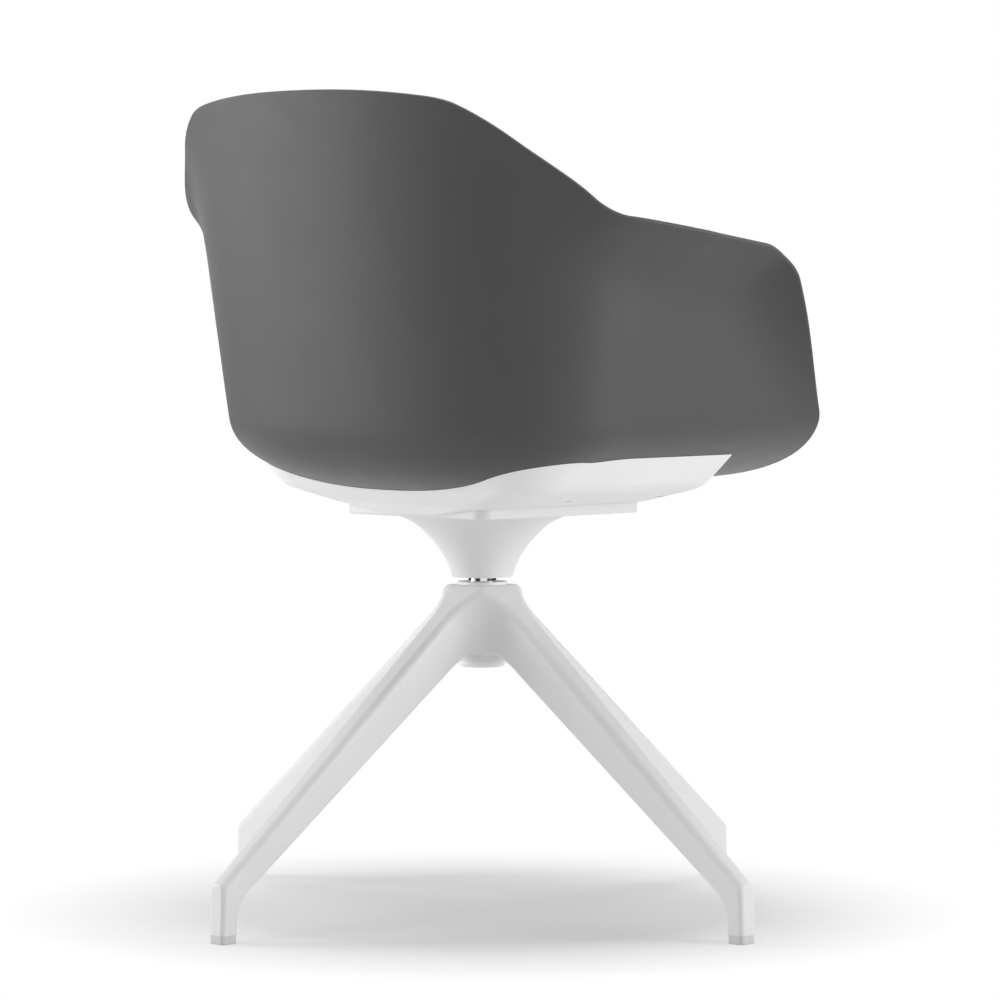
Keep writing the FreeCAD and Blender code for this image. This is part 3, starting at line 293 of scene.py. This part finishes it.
class FinishSpindle(bpy.types.Operator):
    """Give spindle and bearing their steel, and bushes and ball cage their plastic"""

    bl_idname = "chair.finish_spindle"
    bl_label = "Spindle and Bearing"

    def execute(self, context):
        look = context.scene.chair_finishes
        bright = turned_metal("bright_steel", look.spindle_colour, look.spindle_roughness,
                              lines=0.6 * MILLIMETRE)
        dress(bright, "spindle")
        ground = turned_metal("bearing_steel", look.steel_colour, look.steel_roughness,
                              lines=0.3 * MILLIMETRE)
        dress(ground, "thrust_race_upper", "thrust_race_lower", "bearing_balls")
        bush = moulded_plastic("bush_plastic", look.bush_colour, look.bush_roughness,
                               grain=0.7 * MILLIMETRE, depth=0.02 * MILLIMETRE)
        dress(bush, "upper_guide_bush", "lower_guide_bush", "ball_cage")
        return {"FINISHED"}


class FinishFasteners(bpy.types.Operator):
    """Give screws, washers, sleeves and clip their plating, and the inserts their brass"""

    bl_idname = "chair.finish_fasteners"
    bl_label = "Fasteners"

    def execute(self, context):
        look = context.scene.chair_finishes
        zinc = plated_metal("fastener_steel", look.zinc_colour, look.zinc_roughness)
        dress(zinc, "cover_screws", "bracket_screws", "bracket_washers", "spacer_sleeves",
              "retaining_clip", "clip_washer")
        brass = plated_metal("insert_brass", look.brass_colour, look.brass_roughness)
        dress(brass, "shell_inserts")
        return {"FINISHED"}


class FinishGlides(bpy.types.Operator):
    """Give the four glides their light grey plastic"""

    bl_idname = "chair.finish_glides"
    bl_label = "Glides"

    def execute(self, context):
        look = context.scene.chair_finishes
        plastic = moulded_plastic("glide_plastic", look.glide_colour, look.glide_roughness,
                                  grain=0.9 * MILLIMETRE, depth=0.03 * MILLIMETRE)
        dress(plastic, "glide_front", "glide_rear", "glide_left", "glide_right")
        return {"FINISHED"}


# Stage, in metres and in degrees
VIEW_BEARING = math.radians(225.0)
TOWARDS_CAMERA = Vector((math.sin(VIEW_BEARING), -math.cos(VIEW_BEARING), 0.0))
PICTURE_LEFT = Vector((TOWARDS_CAMERA.y, -TOWARDS_CAMERA.x, 0.0))
UP = Vector((0.0, 0.0, 1.0))
WHITE = (1.0, 1.0, 1.0, 1.0)

# The swivel axis stands a little left of the picture's middle
PICTURE_SIZE = 1000.0
PICTURE_MIDDLE = 0.5
AXIS_PIXEL = 482.3

# In the picture, the floor fades to white between these distances from the swivel axis
FLOOR_REACH = 12.0
FADE_START = 0.25
FADE_END = 0.48

# Each soft box: how far to the picture's left, towards the camera and up, and its width and height
LAMP_AIM_HEIGHT = 0.45
LAMP_PLACES = {"left_box": (2.8, -0.4, 0.8), "right_box": (-2.7, 0.8, 0.6), "top_box": (0.0, -0.4, 3.0)}
LAMP_SIZES = {"left_box": (1.6, 2.2), "right_box": (1.6, 2.2), "top_box": (2.4, 2.4)}

# Each flag stands round the swivel axis between two bearings, counted from the camera's
FLAG_REACH = 2.5
FLAG_HEIGHT = 0.45
FLAG_STEPS = 16
FLAG_COLOUR = (0.01, 0.01, 0.01, 1.0)
FLAG_BEARINGS = {"flag_left": (-60.0, -16.0), "flag_right": (42.0, 170.0), "flag_far_left": (-170.0, -97.0)}


def stage_point(left, near, height):
    """Point seen from the swivel axis: to the picture's left, towards the camera and up."""
    return PICTURE_LEFT * left + TOWARDS_CAMERA * near + UP * height


def add_object(name, data):
    """Put an object with this data into the scene."""
    item = bpy.data.objects.new(name, data)
    bpy.context.scene.collection.objects.link(item)
    return item


def face(item, place, aim):
    """Stand a lamp or camera at a place, facing a point."""
    item.location = place
    item.rotation_euler = (aim - place).to_track_quat("-Z", "Y").to_euler()


def soft_lamp(name, power):
    """Rectangular soft box that lights the chair and stays out of the picture."""
    lamp = bpy.data.lights.new(name, "AREA")
    lamp.shape = "RECTANGLE"
    lamp.size, lamp.size_y = LAMP_SIZES[name]
    lamp.energy = power
    holder = add_object(name, lamp)
    holder.visible_camera = False
    face(holder, stage_point(*LAMP_PLACES[name]), UP * LAMP_AIM_HEIGHT)


def combine(tree, operation, first, second):
    """Socket with the result of one math step on two sockets."""
    node = tree.nodes.new("ShaderNodeMath")
    node.operation = operation
    tree.links.new(first, node.inputs[0])
    tree.links.new(second, node.inputs[1])
    return node.outputs[0]


def blend(tree, share, first, second, target):
    """Lead a mix of two shaders to a socket; the share is that of the second."""
    mix = tree.nodes.new("ShaderNodeMixShader")
    tree.links.new(share, mix.inputs["Fac"])
    tree.links.new(first, mix.inputs[1])
    tree.links.new(second, mix.inputs[2])
    tree.links.new(mix.outputs["Shader"], target)


def seen_directly(tree):
    """Socket that is 1 for what the camera sees, straight, mirrored or through glass, and else 0."""
    path = tree.nodes.new("ShaderNodeLightPath")
    seen = path.outputs["Is Camera Ray"]
    for ray in ("Is Glossy Ray", "Is Transmission Ray"):
        seen = combine(tree, "MAXIMUM", seen, path.outputs[ray])
    return seen


def floor_finish(colour):
    """Matt floor that takes the chair's shadow near it and is plain white farther out."""
    finish = Finish("floor_white")
    finish.set(Base_Color=(*colour, 1.0), Roughness=0.9, Specular_IOR_Level=0.0)
    glow = finish.tree.nodes.new("ShaderNodeEmission")
    glow.inputs["Color"].default_value = WHITE
    distance = finish.tree.nodes.new("ShaderNodeVectorMath")
    distance.operation = "LENGTH"
    finish.link(finish.place, distance.inputs[0])
    fade = finish.span(distance.outputs["Value"], low=0.0, high=1.0, near=FADE_START, far=FADE_END)
    share = combine(finish.tree, "MULTIPLY", fade, seen_directly(finish.tree))
    blend(finish.tree, share, finish.shader.outputs["BSDF"], glow.outputs["Emission"],
          finish.tree.nodes["Material Output"].inputs["Surface"])
    return finish.material


def dark_flag(name, first, last, material):
    """Upright black screen between two bearings, which shows in reflections only."""
    shape = bmesh.new()
    side = Matrix.Rotation(math.radians(first), 3, "Z") @ TOWARDS_CAMERA * FLAG_REACH
    foot = shape.verts.new(side)
    top = shape.verts.new(side + UP * FLAG_HEIGHT)
    edge = shape.edges.new((foot, top))
    bmesh.ops.spin(shape, geom=[foot, top, edge], cent=(0, 0, 0), axis=UP, steps=FLAG_STEPS,
                   angle=math.radians(last - first))
    mesh = bpy.data.meshes.new(name)
    shape.to_mesh(mesh)
    shape.free()
    mesh.materials.append(material)
    flag = add_object(name, mesh)
    flag.visible_camera = False
    flag.visible_diffuse = False
    flag.visible_shadow = False
    flag.visible_transmission = False


class SetStage(bpy.types.Operator):
    """Make the floor, the light and the camera"""

    bl_idname = "chair.set_stage"
    bl_label = "Stage"

    def execute(self, context):
        stage = context.scene.chair_stage
        context.scene.view_settings.view_transform = "Standard"
        self.make_world(context.scene, stage)
        self.make_floor(stage)
        self.make_lamps(stage)
        self.make_flags()
        self.make_camera(context.scene, stage)
        return {"FINISHED"}

    def make_world(self, scene, stage):
        """White to look at, and a weaker even light on the chair."""
        world = bpy.data.worlds.new("white_studio")
        world.use_nodes = True
        tree = world.node_tree
        fill = tree.nodes["Background"]
        fill.inputs["Color"].default_value = WHITE
        fill.inputs["Strength"].default_value = stage.world_strength
        white = tree.nodes.new("ShaderNodeBackground")
        white.inputs["Color"].default_value = WHITE
        white.inputs["Strength"].default_value = 1.0
        blend(tree, seen_directly(tree), fill.outputs["Background"], white.outputs["Background"],
              tree.nodes["World Output"].inputs["Surface"])
        scene.world = world

    def make_floor(self, stage):
        mesh = bpy.data.meshes.new("floor")
        shape = bmesh.new()
        bmesh.ops.create_grid(shape, x_segments=1, y_segments=1, size=FLOOR_REACH)
        shape.to_mesh(mesh)
        shape.free()
        mesh.materials.append(floor_finish(stage.floor_colour))
        floor = add_object("floor", mesh)

    def make_lamps(self, stage):
        soft_lamp("left_box", stage.left_power)
        soft_lamp("right_box", stage.right_power)
        soft_lamp("top_box", stage.top_power)

    def make_flags(self):
        finish = Finish("flag_black")
        finish.set(Base_Color=FLAG_COLOUR, Roughness=1.0, Specular_IOR_Level=0.0)
        for name, (first, last) in FLAG_BEARINGS.items():
            dark_flag(name, first, last, finish.material)

    def make_camera(self, scene, stage):
        data = bpy.data.cameras.new("camera")
        data.lens = stage.focal_length
        data.shift_x = PICTURE_MIDDLE - AXIS_PIXEL / PICTURE_SIZE
        camera = add_object("camera", data)
        face(camera, stage_point(0.0, stage.camera_distance, stage.camera_height), UP * stage.aim_height)
        scene.camera = camera


OPERATORS = (FinishShell, FinishCover, FinishCastings, FinishSpindle, FinishFasteners, FinishGlides,
             SetStage)


class ChairPanel(bpy.types.Panel):
    """Steps that dress the chair, and the values they use."""

    bl_idname = "VIEW3D_PT_chair"
    bl_label = "Visitor Chair"
    bl_space_type = "VIEW_3D"
    bl_region_type = "UI"
    bl_category = "Chair"

    def draw(self, context):
        for step in OPERATORS:
            self.layout.operator(step.bl_idname)
        for group in (context.scene.chair_finishes, context.scene.chair_stage):
            for name in group.__annotations__:
                self.layout.prop(group, name)


CLASSES = (ChairFinishes, ChairStage, *OPERATORS, ChairPanel)


def register():
    for item in CLASSES:
        bpy.utils.register_class(item)
    bpy.types.Scene.chair_finishes = bpy.props.PointerProperty(type=ChairFinishes)
    bpy.types.Scene.chair_stage = bpy.props.PointerProperty(type=ChairStage)


def unregister():
    del bpy.types.Scene.chair_stage
    del bpy.types.Scene.chair_finishes
    for item in reversed(CLASSES):
        bpy.utils.unregister_class(item)


def main():
    register()
    bpy.ops.chair.finish_shell()
    bpy.ops.chair.finish_cover()
    bpy.ops.chair.finish_castings()
    bpy.ops.chair.finish_spindle()
    bpy.ops.chair.finish_fasteners()
    bpy.ops.chair.finish_glides()
    bpy.ops.chair.set_stage()


if __name__ == "__main__":
    main()
